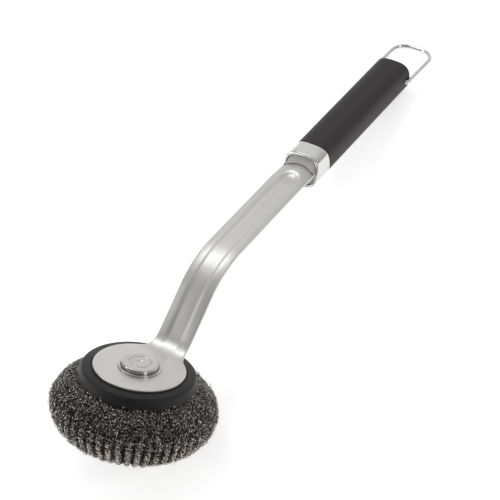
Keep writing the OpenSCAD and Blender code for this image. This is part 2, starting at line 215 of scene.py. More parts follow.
def rounded_path(corners, steps=5, support=0.25):
    """A polyline through (x, y, radius) corners, each rounded, with a point close to each round."""
    path = [tuple(corners[0][:2])]
    for before, here, after in zip(corners, corners[1:], corners[2:]):
        p = Vector(here[:2])
        a = Vector(before[:2]) - p
        b = Vector(after[:2]) - p
        radius = here[2]
        if radius == 0:
            path.append(tuple(p))
            continue
        la, lb = a.length, b.length
        a.normalize()
        b.normalize()
        half = math.acos(max(-1, min(1, a.dot(b)))) / 2
        reach = radius / math.tan(half)
        centre = p + (a + b).normalized() * (radius / math.sin(half))
        start = p + a * reach - centre
        stop = p + b * reach - centre
        a0 = math.atan2(start.y, start.x)
        turn = (math.atan2(stop.y, stop.x) - a0 + math.pi) % (2 * math.pi) - math.pi
        if la > 2 * (reach + support):
            path.append(tuple(p + a * (reach + support)))
        for i in range(steps + 1):
            angle = a0 + turn * i / steps
            path.append((centre.x + radius * math.cos(angle), centre.y + radius * math.sin(angle)))
        if lb > 2 * (reach + support):
            path.append(tuple(p + b * (reach + support)))
    path.append(tuple(corners[-1][:2]))
    return path


def skin(rings, close_start=False, close_end=False):
    """Quads between closed rings of points, with uvs in millimetres along and around."""
    rings = [np.asarray(r, float) for r in rings]
    count = len(rings[0])
    points = np.concatenate(rings)
    middle = rings[len(rings) // 2]
    steps = np.linalg.norm(np.roll(middle, -1, 0) - middle, axis=1)
    around = np.concatenate([[0], np.cumsum(steps)])
    gaps = [np.linalg.norm(b - a, axis=1).mean() for a, b in zip(rings, rings[1:])]
    along = np.concatenate([[0], np.cumsum(gaps)])
    faces, uvs = [], []
    for i in range(len(rings) - 1):
        for j in range(count):
            k = (j + 1) % count
            faces.append((i * count + j, i * count + k, (i + 1) * count + k, (i + 1) * count + j))
            u0, u1 = around[j], around[j + 1]
            uvs += [(along[i], u0), (along[i], u1), (along[i + 1], u1), (along[i + 1], u0)]
    ends = [(close_start, 0, -1), (close_end, len(rings) - 1, 1)]
    for wanted, i, way in ends:
        if wanted:
            loop = [i * count + j for j in range(count)][::way]
            faces.append(tuple(loop))
            uvs += [tuple(points[v][1:3]) for v in loop]
    return points, faces, uvs


def lathe(path, steps=144):
    """A ring of points for each (radius, height) of a path, turned about the z axis."""
    angles = np.linspace(0, 2 * math.pi, steps, endpoint=False)
    return [
        np.stack([r * np.cos(angles), r * np.sin(angles), np.full(steps, z)], axis=1)
        for r, z in path
    ]


def place_points(points, place):
    """Points moved by a matrix."""
    m = np.array(place)
    return np.asarray(points, float) @ m[:3, :3].T + m[:3, 3]


def add_piece(name, points, faces, place, body, material, uvs, replaces, crease):
    """A finished piece: points in millimetres, placed, smoothed, painted and riding on a body."""
    mesh = bpy.data.meshes.new(name)
    mesh.from_pydata(place_points(points, place).tolist(), [], faces)
    layer = mesh.uv_layers.new(name="surface")
    layer.data.foreach_set("uv", (np.asarray(uvs, np.float32) * MM).ravel())
    mesh.validate()
    mesh.shade_smooth()
    if crease:
        mesh.set_sharp_from_angle(angle=math.radians(crease))
    piece = bpy.data.objects.new(name, mesh)
    bpy.context.scene.collection.objects.link(piece)
    mesh.materials.append(material)
    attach(piece, body)
    if replaces:
        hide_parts(*replaces)
    return piece


def face_outward(points, faces, uvs):
    """Turns a closed skin's faces over if they look inward."""
    p = np.asarray(points, float)
    tri = [(f[0], f[k], f[k + 1]) for f in faces for k in range(1, len(f) - 1)]
    a, b, c = (p[[t[i] for t in tri]] for i in range(3))
    if np.einsum("ij,ij->i", a, np.cross(b, c)).sum() > 0:
        return faces, uvs
    flipped = [f[::-1] for f in faces]
    turned, at = [], 0
    for f in faces:
        turned += uvs[at : at + len(f)][::-1]
        at += len(f)
    return flipped, turned


def add_skin(name, rings, place, body, material, replaces=(), ends=(False, False), crease=50):
    """A piece made of closed rings, with its ends closed or open."""
    points, faces, uvs = skin(rings, *ends)
    faces, uvs = face_outward(points, faces, uvs)
    return add_piece(name, points, faces, place, body, material, uvs, replaces, crease)


# ---- materials ----


class Paint:
    """A principled material and short ways to add nodes to it."""

    def __init__(self, name, colour, roughness, metallic=0.0):
        self.material = bpy.data.materials.new(name)
        self.material.use_nodes = True
        self.tree = self.material.node_tree
        self.shader = self.tree.nodes["Principled BSDF"]
        self.shader.inputs["Base Color"].default_value = (*colour, 1)
        self.shader.inputs["Roughness"].default_value = roughness
        self.shader.inputs["Metallic"].default_value = metallic
        self.colour = colour

    def node(self, kind, **settings):
        node = self.tree.nodes.new(kind)
        for key, value in settings.items():
            setattr(node, key, value)
        return node

    def link(self, source, target):
        self.tree.links.new(source, target)

    def coords(self, scale, output="Object"):
        """Coordinates times a scale, given in cycles per metre for each axis."""
        where = self.node("ShaderNodeTexCoord")
        mapping = self.node("ShaderNodeMapping")
        mapping.inputs["Scale"].default_value = scale
        self.link(where.outputs[output], mapping.inputs["Vector"])
        return mapping.outputs["Vector"]

    def noise(self, scale, detail=3.0, rough=0.55, output="Object"):
        node = self.node("ShaderNodeTexNoise")
        node.inputs["Scale"].default_value = 1.0
        node.inputs["Detail"].default_value = detail
        node.inputs["Roughness"].default_value = rough
        self.link(self.coords(scale, output), node.inputs["Vector"])
        return node.outputs["Fac"]

    def spread(self, value, low, high, start=0.3, stop=0.7):
        node = self.node("ShaderNodeMapRange")
        node.inputs["From Min"].default_value = start
        node.inputs["From Max"].default_value = stop
        node.inputs["To Min"].default_value = low
        node.inputs["To Max"].default_value = high
        self.link(value, node.inputs["Value"])
        return node.outputs["Result"]

    def math(self, operation, *values):
        node = self.node("ShaderNodeMath", operation=operation)
        for value, target in zip(values, node.inputs):
            if isinstance(value, float):
                target.default_value = value
            else:
                self.link(value, target)
        return node.outputs[0]

    def tint(self, value, dark, light, span=(0.3, 0.7)):
        """Colour between two multiples of the base colour."""
        ramp = self.node("ShaderNodeValToRGB")
        ramp.color_ramp.elements[0].position = span[0]
        ramp.color_ramp.elements[1].position = span[1]
        for element, k in zip(ramp.color_ramp.elements, (dark, light)):
            element.color = (*(min(1, c * k) for c in self.colour), 1)
        self.link(value, ramp.inputs["Fac"])
        self.link(ramp.outputs["Color"], self.shader.inputs["Base Color"])

    def rough(self, value, low, high):
        self.link(self.spread(value, low, high), self.shader.inputs["Roughness"])

    def bump(self, value, height):
        """Relief of a height in metres."""
        node = self.node("ShaderNodeBump")
        node.inputs["Distance"].default_value = height
        node.inputs["Strength"].default_value = 1.0
        self.link(value, node.inputs["Height"])
        self.link(node.outputs["Normal"], self.shader.inputs["Normal"])


def grained_steel(name, colour, along, across):
    """Sheet steel with a fine grain along the piece's uv, faint smears and handling marks."""
    paint = Paint(name, colour, 0.33, 1.0)
    grain = paint.noise((along, across, 1), 4, 0.6, "UV")
    smear = paint.noise((14, 420, 1), 4, 0.6, "UV")
    paint.tint(smear, 0.94, 1.05)
    both = paint.math("MULTIPLY_ADD", grain, 0.6, paint.math("MULTIPLY", smear, 0.4))
    paint.rough(both, 0.28, 0.52)
    paint.bump(grain, 0.000006)
    return paint.material


def turned_steel(name, colour, roughness):
    """Steel with fine rings from turning, by distance along the turned profile."""
    paint = Paint(name, colour, 0.25, 1.0)
    rings = paint.noise((4200, 1, 1), 2, 0.5, "UV")
    smear = paint.noise((160, 160, 160), 3, 0.5)
    paint.tint(smear, 0.94, 1.05)
    paint.rough(smear, *roughness)
    paint.bump(rings, 0.000003)
    return paint.material


def polished_steel(name, colour):
    """Bright plated steel with faint waviness and finger smears."""
    paint = Paint(name, colour, 0.1, 1.0)
    smear = paint.noise((90, 90, 90), 4, 0.6)
    paint.tint(smear, 0.96, 1.03)
    paint.rough(smear, 0.12, 0.22)
    paint.bump(paint.noise((140, 140, 140), 2), 0.00002)
    return paint.material


def plated_steel(name, colour):
    """Dull zinc-plated fittings inside the head and the handle."""
    paint = Paint(name, colour, 0.4, 1.0)
    cloud = paint.noise((500, 500, 500), 4)
    paint.tint(cloud, 0.85, 1.1)
    paint.rough(cloud, 0.32, 0.5)
    paint.bump(paint.noise((2500, 2500, 2500)), 0.00001)
    return paint.material


def matt_plastic(name, colour, roughness=(0.42, 0.55)):
    """Moulded plastic with a fine matt grain and slight sheen changes."""
    paint = Paint(name, colour, 0.5)
    paint.shader.inputs["Specular IOR Level"].default_value = 0.3
    cloud = paint.noise((70, 70, 70), 4)
    paint.tint(cloud, 0.9, 1.12)
    paint.rough(cloud, *roughness)
    paint.bump(paint.noise((2200, 2200, 2200), 2, 0.6), 0.00002)
    return paint.material


def soft_grip(name, colour):
    """Soft-touch grip: a fine pebbled grain under a velvety sheen."""
    paint = Paint(name, colour, 0.6)
    paint.shader.inputs["Specular IOR Level"].default_value = 0.25
    paint.shader.inputs["Sheen Weight"].default_value = 0.1
    paint.shader.inputs["Sheen Roughness"].default_value = 0.4
    cloud = paint.noise((45, 45, 45), 5)
    paint.tint(cloud, 0.9, 1.12)
    paint.rough(cloud, 0.5, 0.64)
    cells = paint.node("ShaderNodeTexVoronoi", feature="SMOOTH_F1")
    cells.inputs["Scale"].default_value = 1.0
    paint.link(paint.coords((1700, 1700, 1700)), cells.inputs["Vector"])
    paint.bump(cells.outputs["Distance"], 0.00003)
    return paint.material


def knit_steel(name, colour, roughness):
    """Drawn wire, bright in patches, with painted highlight on the ribs and painted shade in the furrows between
    them.
    """
    paint = Paint(name, colour, 0.3, 1.0)
    patch = paint.noise((850, 850, 850), 3, 0.6)
    where = paint.node("ShaderNodeSeparateXYZ")
    paint.link(paint.coords((1, 2 * PLEATS / (PAD_ROUND * MM), 1), "UV"), where.inputs["Vector"])
    wave = paint.math("COSINE", paint.math("MULTIPLY", where.outputs["Y"], math.pi))
    # painted shade darkens the wire in the furrows between the ribs, and painted highlight brightens their crests
    painted_shade_and_highlight = paint.math("SUBTRACT", FURROW_EDGE, paint.math("ABSOLUTE", wave))
    start, full = FURROW_FROM * MM, FURROW_FULL * MM
    depth = paint.spread(where.outputs["X"], 0.0, FURROW_SHADE, start, full)
    # the wire's random patches, darkened by the painted shade and brightened by the painted highlight
    patch_with_painted_light = paint.math("SUBTRACT", patch, paint.math("MULTIPLY", painted_shade_and_highlight, depth))
    paint.tint(patch_with_painted_light, 0.14, 5.6, (0.48, 0.64))
    paint.rough(patch, *roughness)
    paint.bump(paint.noise((5000, 5000, 5000), 2), 0.00001)
    return paint.material


def knit_depth_shade(name, colour):
    """Packed wire deep in the pad, near black as painted shade: small dark loops seen between the outer ones."""
    paint = Paint(name, colour, 0.6, 0.6)
    loops = paint.node("ShaderNodeTexVoronoi", feature="DISTANCE_TO_EDGE")
    loops.inputs["Scale"].default_value = 1.0
    paint.link(paint.coords((520, 520, 520)), loops.inputs["Vector"])
    ramp = paint.node("ShaderNodeValToRGB")
    ramp.color_ramp.elements[0].position = 0.02
    ramp.color_ramp.elements[1].position = 0.16
    ramp.color_ramp.elements[0].color = (*(min(1, c * 2.6) for c in colour), 1)
    ramp.color_ramp.elements[1].color = (*(c * 0.3 for c in colour), 1)
    paint.link(loops.outputs["Distance"], ramp.inputs["Fac"])
    paint.link(ramp.outputs["Color"], paint.shader.inputs["Base Color"])
    paint.bump(loops.outputs["Distance"], 0.0006)
    return paint.material


def open_foam(name, colour):
    """Coarse open foam of the pad's core."""
    paint = Paint(name, colour, 0.9)
    cells = paint.node("ShaderNodeTexVoronoi")
    cells.inputs["Scale"].default_value = 1.0
    paint.link(paint.coords((700, 700, 700)), cells.inputs["Vector"])
    paint.tint(cells.outputs["Distance"], 0.6, 1.2)
    paint.bump(cells.outputs["Distance"], 0.0004)
    return paint.material


def make_materials():
    """Every material, by the name of its slot."""
    return {
        "plate_steel": grained_steel("plate_steel", (0.63, 0.618, 0.606), 60, 2600),
        "bright_steel": polished_steel("bright_steel", (0.72, 0.715, 0.71)),
        "cap_steel": turned_steel("cap_steel", (0.52, 0.51, 0.50), (0.14, 0.24)),
        "works_steel": plated_steel("works_steel", (0.5, 0.5, 0.49)),
        "spring_steel": plated_steel("spring_steel", (0.42, 0.42, 0.43)),
        "ring_plastic": matt_plastic("ring_plastic", (0.010, 0.009, 0.009)),
        "plug_plastic": matt_plastic("plug_plastic", (0.50, 0.49, 0.48), (0.35, 0.5)),
        "core_plastic": matt_plastic("core_plastic", (0.03, 0.029, 0.029)),
        "grip_rubber": soft_grip("grip_rubber", (0.040, 0.035, 0.035)),
        "knit_wire": knit_steel("knit_wire", (0.18, 0.165, 0.154), (0.07, 0.22)),
        # the deeper wire's much darker colour is painted shade under the outer loops
        "knit_wire_deep": knit_steel("knit_wire_deep", (0.05, 0.045, 0.041), (0.15, 0.35)),
        # the packed back is near black as painted shade deep in the pad
        "knit_back": knit_depth_shade("knit_back", (0.014, 0.012, 0.010)),
        "core_foam": open_foam("core_foam", (0.12, 0.11, 0.10)),
    }


def paint_cad_nodes(frame, paints):
    """Every CAD node that stays gets its slot's material."""
    slots = {s["node"]: s["material_slot"] for s in frame["record"]["subparts"]}
    for name, node in frame["nodes"].items():
        node.data.materials.clear()
        node.data.materials.append(paints[slots[name]])


# ---- scrub head ----


def pad_meridian(spacing=0.5):
    """Evenly spaced (radius, height, normal radius, normal height) down the pad's outline."""
    top = [
        (
            PAD_NECK[0] + (PAD_R - PAD_NECK[0]) * math.cos(a) ** (2 / PAD_TOP_POWER),
            PAD_WIDE_Z + (PAD_NECK[1] - PAD_WIDE_Z) * math.sin(a) ** (2 / PAD_TOP_POWER),
        )
        for a in np.radians(np.linspace(78, 0, 40))
    ]
    low = [
        (
            PAD_FLAT_R + (PAD_R - PAD_FLAT_R) * math.cos(a) ** (2 / PAD_LOW_POWER),
            PAD_WIDE_Z - (PAD_DEPTH + PAD_WIDE_Z) * math.sin(a) ** (2 / PAD_LOW_POWER),
        )
        for a in np.radians(np.linspace(2, 89.9, 50))
    ]
    flat = [(r, -PAD_DEPTH) for r in np.linspace(PAD_FLAT_R - 1, 11, 18)]
    well = [
        (9.0, -PAD_DEPTH + 0.3),
        (7.2, -PAD_DEPTH + 1.2),
        (6.0, -PAD_DEPTH + 2.6),
        (5.0, -PAD_DEPTH + 4.2),
        (3.6, -PAD_DEPTH + 4.6),
    ]
    line = np.array(top + low + flat + well)
    length = np.concatenate([[0], np.cumsum(np.linalg.norm(np.diff(line, axis=0), axis=1))])
    at = np.arange(0, length[-1], spacing)
    r, z = np.interp(at, length, line[:, 0]), np.interp(at, length, line[:, 1])
    kernel = np.ones(5) / 5
    dr = np.convolve(np.pad(np.gradient(r), 2, mode="edge"), kernel, "valid")
    dz = np.convolve(np.pad(np.gradient(z), 2, mode="edge"), kernel, "valid")
    size = np.hypot(dr, dz)
    return at, r, z, -dz / size, dr / size


def rib_angle(angle):
    """The angle round the pad, swayed a little so the ribs aren't evenly spaced."""
    return angle + 0.3 / PLEATS * np.sin(3 * angle)


def pleat(at, angle, meridian):
    """How far the cloth stands out in soft ribs, which deepen from the widest part down."""
    z = np.interp(at, meridian[0], meridian[2])
    depth = np.clip((PLEAT_START - z) / PLEAT_GROWTH, 0, 1)
    return depth * (PLEAT_RISE * np.abs(np.cos(PLEATS * rib_angle(angle))) - PLEAT_SINK)


def pad_point(at, angle, lift, meridian):
    """Points at a distance down the outline and an angle round it, lifted off the surface."""
    s, r, z, nr, nz = meridian
    normal_r, normal_z = np.interp(at, s, nr), np.interp(at, s, nz)
    size = np.hypot(normal_r, normal_z)
    normal_r, normal_z = normal_r / size, normal_z / size
    lifted = lift + pleat(at, angle, meridian)
    radius = np.interp(at, s, r) + lifted * normal_r
    points = np.stack(
        [radius * np.cos(angle), radius * np.sin(angle), np.interp(at, s, z) + lifted * normal_z],
        axis=-1,
    )
    normals = np.stack(
        [normal_r * np.cos(angle), normal_r * np.sin(angle), normal_z * np.ones_like(angle)],
        axis=-1,
    )
    return rest_on_table(points), normals


def rest_on_table(points):
    """Points of the upright frame, lifted onto the table where they would sink into it."""
    m = np.array(HEAD)
    sunk = np.minimum(points @ m[2, :3] + m[2, 3] - WIRE_CLEAR * MM, 0)
    return points - sunk[..., None] * m[2, :3] / (m[2, :3] @ m[2, :3])


def smooth_random(rng, rows, columns, at):
    """A random value for each stitch, blended smoothly along each closed row."""
    values = rng.standard_normal((rows, columns))
    low = np.floor(at).astype(int) % columns
    mix = at - np.floor(at)
    mix = mix * mix * (3 - 2 * mix)
    return values[:, low] * (1 - mix) + values[:, (low + 1) % columns] * mix


def stitches(rng, span, wales, course, reach, lift, samples):
    """Distance down, angle round, height off and twist for each point of each row of loops."""
    rows = int((span[1] - span[0]) / course)
    turn = np.arange(wales * samples) / samples
    phase = 2 * math.pi * turn

    def uneven():
        return smooth_random(rng, rows, wales, turn)

    middle = (span[0] + course * (np.arange(rows) + 0.5))[:, None]
    shift = np.cumsum(rng.normal(0, ROW_SHIFT, (rows, 1)), axis=0)
    sideways = LOOP_SWAY * np.sin(2 * phase)[None, :] + STRAY_ROUND * uneven()
    angle = 2 * math.pi * (turn[None, :] + sideways + shift) / wales
    height = reach * (1 + STRAY_HEIGHT * uneven())
    at = middle - height * np.cos(phase)[None, :]
    at = at + STRAY_DOWN * uneven()
    fuzz = uneven()
    out = lift + LOOP_ARCH * np.cos(2 * phase)[None, :] + STRAY_OUT * fuzz
    out = out + FUZZ_OUT * np.maximum(fuzz, 0) ** 3
    return at, angle, out, STRAY_TWIST * uneven()


def flat_wire(line, normal, twist, wire):
    """The four corners of a flattened wire at each point of a closed line, twisted as it goes."""
    tangent = np.roll(line, -1, 1) - np.roll(line, 1, 1)
    tangent /= np.linalg.norm(tangent, axis=2, keepdims=True)
    side = np.cross(tangent, normal)
    side /= np.linalg.norm(side, axis=2, keepdims=True)
    up = np.cross(side, tangent)
    twist = twist[..., None]
    flat_way = side * np.cos(twist) + up * np.sin(twist)
    thin_way = up * np.cos(twist) - side * np.sin(twist)
    wide, thin = wire
    corners = [line + wide * flat_way, line + thin * thin_way]
    corners += [line - wide * flat_way, line - thin * thin_way]
    return np.stack(corners, axis=2)


def wire_quads(rows, count):
    """Faces along closed wires of four corners, with count points in each."""
    i, j, k = np.meshgrid(np.arange(rows), np.arange(count), np.arange(4), indexing="ij")
    here = (i * count + j) * 4
    there = (i * count + (j + 1) % count) * 4
    return np.stack([here + k, here + (k + 1) % 4, there + (k + 1) % 4, there + k], axis=-1)


def knit(name, span, loops, wire, seed, material, meridian, replaces=()):
    """Rows of knitted loops round the pad, as flat-sided wire, between two distances down it."""
    at, angle, out, twist = stitches(np.random.default_rng(seed), span, **loops)
    line, normal = pad_point(at, angle, out, meridian)
    points = flat_wire(line, normal, twist, wire).reshape(-1, 3)
    quads = wire_quads(*at.shape)
    spot = np.stack([at, rib_angle(angle) / (2 * math.pi) * PAD_ROUND], axis=-1)
    uvs = spot.reshape(-1, 2)[quads.reshape(-1) // 4]
    return add_piece(name, points, quads.reshape(-1, 4).tolist(), HEAD, "scrub_head",
                     material, uvs, replaces, None)


def make_pad(paints):
    """Three bands of loops outside, a layer of loops under them darkened as painted shade, and a packed back
    painted near black as shade.
    """
    meridian = pad_meridian()
    end = meridian[0][-1]
    ribs = 2 * PLEATS
    outer = dict(wire=(0.24, 0.11), material=paints["knit_wire"], meridian=meridian)
    top = dict(wales=104, course=4.0, reach=4.0, lift=-0.2, samples=16)
    low = dict(wales=ribs, course=2.1, reach=2.3, lift=-0.2, samples=20)
    under = dict(wales=ribs, course=2.6, reach=2.6, lift=-0.2, samples=18)
    second = dict(wales=86, course=3.9, reach=3.0, lift=-1.5, samples=11)
    knit("knit_outer_top", (0.5, 29), top, seed=3, replaces=["mesh_pad"], **outer)
    knit("knit_outer_low", (27, 66), low, seed=4, **outer)
    knit("knit_outer_under", (66, end - 2), under, seed=6, **outer)
    knit("knit_second", (0.5, end - 3), second, wire=(0.28, 0.13), seed=5,
         material=paints["knit_wire_deep"], meridian=meridian)
    make_pad_back(paints, meridian)


def make_pad_back(paints, meridian):
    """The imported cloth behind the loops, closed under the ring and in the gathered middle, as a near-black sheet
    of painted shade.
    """
    steps = 216
    angle = np.linspace(0, 2 * math.pi, steps, endpoint=False)
    at = meridian[0][::4]
    rings = [pad_point(np.full(steps, a), angle, -BACK_DEPTH, meridian)[0] for a in at]
    inner = [rings[0] * [0.80, 0.80, 1]]
    back = add_skin("knit_back", inner + rings, HEAD, "scrub_head",
                    paints["knit_back"], ends=(True, True), crease=None)


def make_ring(paints):
    """Backing ring: a rounded shoulder, a shallow ridge round the seat, and a pocket."""
    ridge = PLATE_R + 1
    path = rounded_path([
        (POST_R + 0.05, POCKET_FLOOR - 2.2, 0),
        (POCKET_R + 2.2, POCKET_FLOOR - 2.2, 0.6),
        (POCKET_R + 2.2, SEAT_Z - 2.6, 0.4),
        (RING_R - 2.7, SEAT_Z - 2.6, 0.4),
        (RING_R - 2.7, RING_BOTTOM, 0.4),
        (RING_R, RING_BOTTOM, 0.5),
        (RING_TOP_R + 0.1, SEAT_Z, 2.0),
        (ridge + 1.0, SEAT_Z + 0.75, 0.5),
        (ridge, SEAT_Z + 0.75, 0.35),
        (ridge, SEAT_Z, 0.2),
        (POCKET_R, SEAT_Z, 0.4),
        (POCKET_R, POCKET_FLOOR, 0.5),
        (POST_R + 0.05, POCKET_FLOOR, 0),
        (POST_R + 0.05, POCKET_FLOOR - 2.2, 0),
    ])
    add_skin("ring_shell", lathe(path, 192), HEAD, "scrub_head",
             paints["ring_plastic"], ["backing_ring"])


# ---- button ----


def make_cap(paints):
    """The button's cap, with a plain ring and dot."""
    rings = lathe(rounded_path([
        (0.01, CAP_TOP - 0.25, 0),
        (1.9, CAP_TOP - 0.25, 0.15),
        (2.3, CAP_TOP, 0.25),
        (7.0, CAP_TOP, 0.25),
        (7.35, CAP_TOP - 0.3, 0.15),
        (7.75, CAP_TOP - 0.3, 0.15),
        (8.1, CAP_TOP, 0.25),
        (CAP_R, CAP_TOP, CAP_EDGE),
        (CAP_R, 0.6, 0.2),
        (11.7, 0.6, 0.2),
        (11.7, -2.4, 0.2),
        (10.5, -2.4, 0.2),
        (10.5, CAP_TOP - 1.6, 0.3),
        (0.01, CAP_TOP - 1.6, 0),
    ]))
    add_skin("cap_shell", rings, HEAD, "button", paints["cap_steel"],
             ["button_cap"], (True, True))


def make_housing(paints):
    """The bezel and the housing that the button works in."""
    rings = lathe(rounded_path([
        (TUBE_R, -2.0, 0),
        (TUBE_R, 0.0, 0),
        (BEZEL_R, 0.0, 0.12),
        (BEZEL_R, 1.0, 0.42),
        (CAP_R + 0.3, 1.0, 0.25),
        (CAP_R + 0.3, -1.8, 0.2),
        (12.0, -1.8, 0.2),
        (12.0, -5.0, 0.2),
        (7.1, -5.0, 0.2),
        (7.1, -6.6, 0.2),
        (7.7, -6.6, 0.2),
        (7.7, -8.4, 0.2),
        (9.25, -8.4, 0.2),
        (9.25, -10.4, 0.3),
        (11.4, -10.4, 0.3),
        (11.4, -7.0, 0.3),
        (TUBE_R, -7.0, 0.3),
        (TUBE_R, -2.0, 0),
    ]))
    add_skin("bezel_shell", rings, HEAD, "handle", paints["cap_steel"],
             ["button_housing"])


def fold_spring(frame):
    """The return spring, standing on the housing's shelf, gets a mesh of its own."""
    spring = frame["nodes"]["button_spring"]
    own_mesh(spring)


# ---- arm ----


def arm_lengths():
    """Where each part of the arm's top line ends, as distance from the plate's middle."""
    neck_tangent = NECK_ROUND * math.tan(NECK_SLOPE / 2)
    knee_turn = NECK_SLOPE - HANDLE_SLOPE
    knee_tangent = KNEE_ROUND * math.tan(knee_turn / 2)
    flat_end = NECK_X - neck_tangent
    rise = math.hypot(KNEE[0] - NECK_X, KNEE[1])
    neck_end = flat_end + NECK_ROUND * NECK_SLOPE
    knee_start = neck_end + rise - neck_tangent - knee_tangent
    knee_end = knee_start + KNEE_ROUND * knee_turn
    collar = knee_end + (HANDLE_X - KNEE[0]) / math.cos(HANDLE_SLOPE) - knee_tangent
    return flat_end, neck_end, knee_start, knee_end, collar


def bend(points):
    """Bends the arm's flat blank (distance, side, height); the plate's sides stay flat."""
    flat_end, neck_end, knee_start, knee_end, _ = arm_lengths()
    s, y, h = points[:, 0], points[:, 1], points[:, 2]
    neck = np.clip((s - flat_end) / NECK_ROUND, 0, NECK_SLOPE)
    knee = np.clip((s - knee_start) / KNEE_ROUND, 0, NECK_SLOPE - HANDLE_SLOPE)
    x = np.minimum(s, flat_end) + NECK_ROUND * np.sin(neck)
    z = NECK_ROUND * (1 - np.cos(neck))
    climb = np.clip(s - neck_end, 0, knee_start - neck_end)
    x, z = x + climb * math.cos(NECK_SLOPE), z + climb * math.sin(NECK_SLOPE)
    slope = NECK_SLOPE - knee
    x = x + KNEE_ROUND * (math.sin(NECK_SLOPE) - np.sin(slope))
    z = z + KNEE_ROUND * (np.cos(slope) - math.cos(NECK_SLOPE))
    run = np.maximum(s - knee_end, 0)
    x, z = x + run * math.cos(HANDLE_SLOPE), z + run * math.sin(HANDLE_SLOPE)
    lean = neck - knee
    flat = smoothstep((np.abs(y) - SIDE_FLAT_Y) / SIDE_FADE)
    return np.stack([x - h * np.sin(lean), y, z * (1 - flat) + h * np.cos(lean)], axis=1)


def smoothstep(x):
    """Rises smoothly from 0 to 1 while x does."""
    x = np.clip(x, 0, 1)
    return x * x * (3 - 2 * x)


def pressed(s, y):
    """How far the blank's faces are moved by the crown and the pressed channel."""
    flat_end, _, _, _, collar = arm_lengths()
    mouth = s - collar + MOUTH_REACH
    near_mouth = smoothstep(mouth / 10)
    wall = CHANNEL_WALL + (CHANNEL_END_WALL - CHANNEL_WALL) * near_mouth
    depth = CHANNEL_D + (CHANNEL_END_D - CHANNEL_D) * near_mouth
    past = np.maximum(s - (collar - CHANNEL_STOP - CHANNEL_R), 0)
    channel = smoothstep((CHANNEL_R - np.hypot(past, y)) / wall)
    channel *= smoothstep((s - flat_end - CHANNEL_START) / CHANNEL_FADE)
    crown = ARM_CROWN * smoothstep((s - CROWN_START) / CROWN_FADE)
    crown = crown + MOUTH_CROWN * smoothstep(mouth / 20)
    return crown * (CROWN_MIDDLE - (y / (ARM_W / 2)) ** 2) - depth * channel


def arm_outline(step=1.0):
    """The blank's outline, anticlockwise: plate, fillets, strip and tang."""
    collar = arm_lengths()[4]
    shoulder, end = collar + 5, collar + TANG_END
    half, tang = ARM_W / 2, TANG_W / 2
    reach = PLATE_R + ARM_FILLET
    fillet_x = math.sqrt(reach**2 - (half + ARM_FILLET) ** 2)
    lean = math.degrees(math.asin((half + ARM_FILLET) / reach))
    side = arc_points((fillet_x, -half - ARM_FILLET), ARM_FILLET, 180 - lean, 90, 8)
    corners = rounded_path([
        (fillet_x, -half, 0),
        (shoulder, -half, 1.5),
        (shoulder, -tang, 1.0),
        (end, -tang, 1.5),
        (end, 0, 0),
    ], 4)
    lower = side[:-1] + corners[:-1]
    dense = []
    for (x0, y0), (x1, y1) in zip(lower, lower[1:] + [corners[-1]]):
        parts = max(1, int(math.hypot(x1 - x0, y1 - y0) / step))
        dense += [(x0 + (x1 - x0) * i / parts, y0 + (y1 - y0) * i / parts) for i in range(parts)]
    upper = [(x, -y) for x, y in reversed(dense[1:])]
    tip = [corners[-1]]
    disc = arc_points((0, 0), PLATE_R, lean, 360 - lean, 170)
    return np.array(disc[:-1] + dense + tip + upper)


def inset(outline, distance):
    """The outline moved inward along its own normals."""
    along = np.roll(outline, -1, 0) - np.roll(outline, 1, 0)
    along /= np.linalg.norm(along, axis=1, keepdims=True)
    return outline + distance * np.stack([-along[:, 1], along[:, 0]], axis=1)


def blank_grid(collar, hole):
    """Points that fill the blank, closer together where the channel's walls are."""
    half, tang = ARM_W / 2 - 1.1, TANG_W / 2 - 1.1
    rows = np.concatenate([np.arange(-12, 12.1, 1.5), np.arange(-7, 7.1, 0.5)])
    rows = np.unique(np.round(rows[np.abs(rows) < half], 2))
    strip = [(s, y) for s in np.arange(STRIP_START, collar + 4, 1.2) for y in rows]
    tang_steps = np.arange(collar + 5, collar + TANG_END - 1, 4)
    tail = [(s, y) for s in tang_steps for y in (-tang, 0, tang)]
    plate = [
        (r * math.cos(a), r * math.sin(a))
        for r in np.arange(hole + 1.5, PLATE_R - 1, 1.6)
        for a in np.linspace(0, 2 * math.pi, int(r * 3.6), endpoint=False)
    ]
    plate = [p for p in plate if p[0] < STRIP_START - 0.8]
    return strip + tail + plate


def flat_blank(rim, hole_r):
    """The blank's triangles, and which of its points lie on its rim and round its hole."""
    hole = arc_points((0, 0), hole_r, 360, 0, 96)[:-1]
    n, m = len(rim), len(hole)
    flat = [Vector(p) for p in (*rim, *hole, *blank_grid(arm_lengths()[4], hole_r))]
    edges = [(i, (i + 1) % n) for i in range(n)] + [(n + i, n + (i + 1) % m) for i in range(m)]
    result = geometry.delaunay_2d_cdt(flat, edges, [], 1, 1e-5)
    top = np.array([tuple(v) for v in result[0]])
    where = {old: new for new, olds in enumerate(result[3]) for old in olds}

    def in_metal(face):
        return np.hypot(*top[list(face)].mean(0)) > hole_r * 0.99

    triangles = [tuple(f) for f in result[2] if in_metal(f)]
    return top, triangles, [where[i] for i in range(n)], [where[n + i] for i in range(m)]


def band(a, b):
    """Quads between two closed loops of point numbers."""
    size = len(a)
    return [(a[i], b[i], b[(i + 1) % size], a[(i + 1) % size]) for i in range(size)]


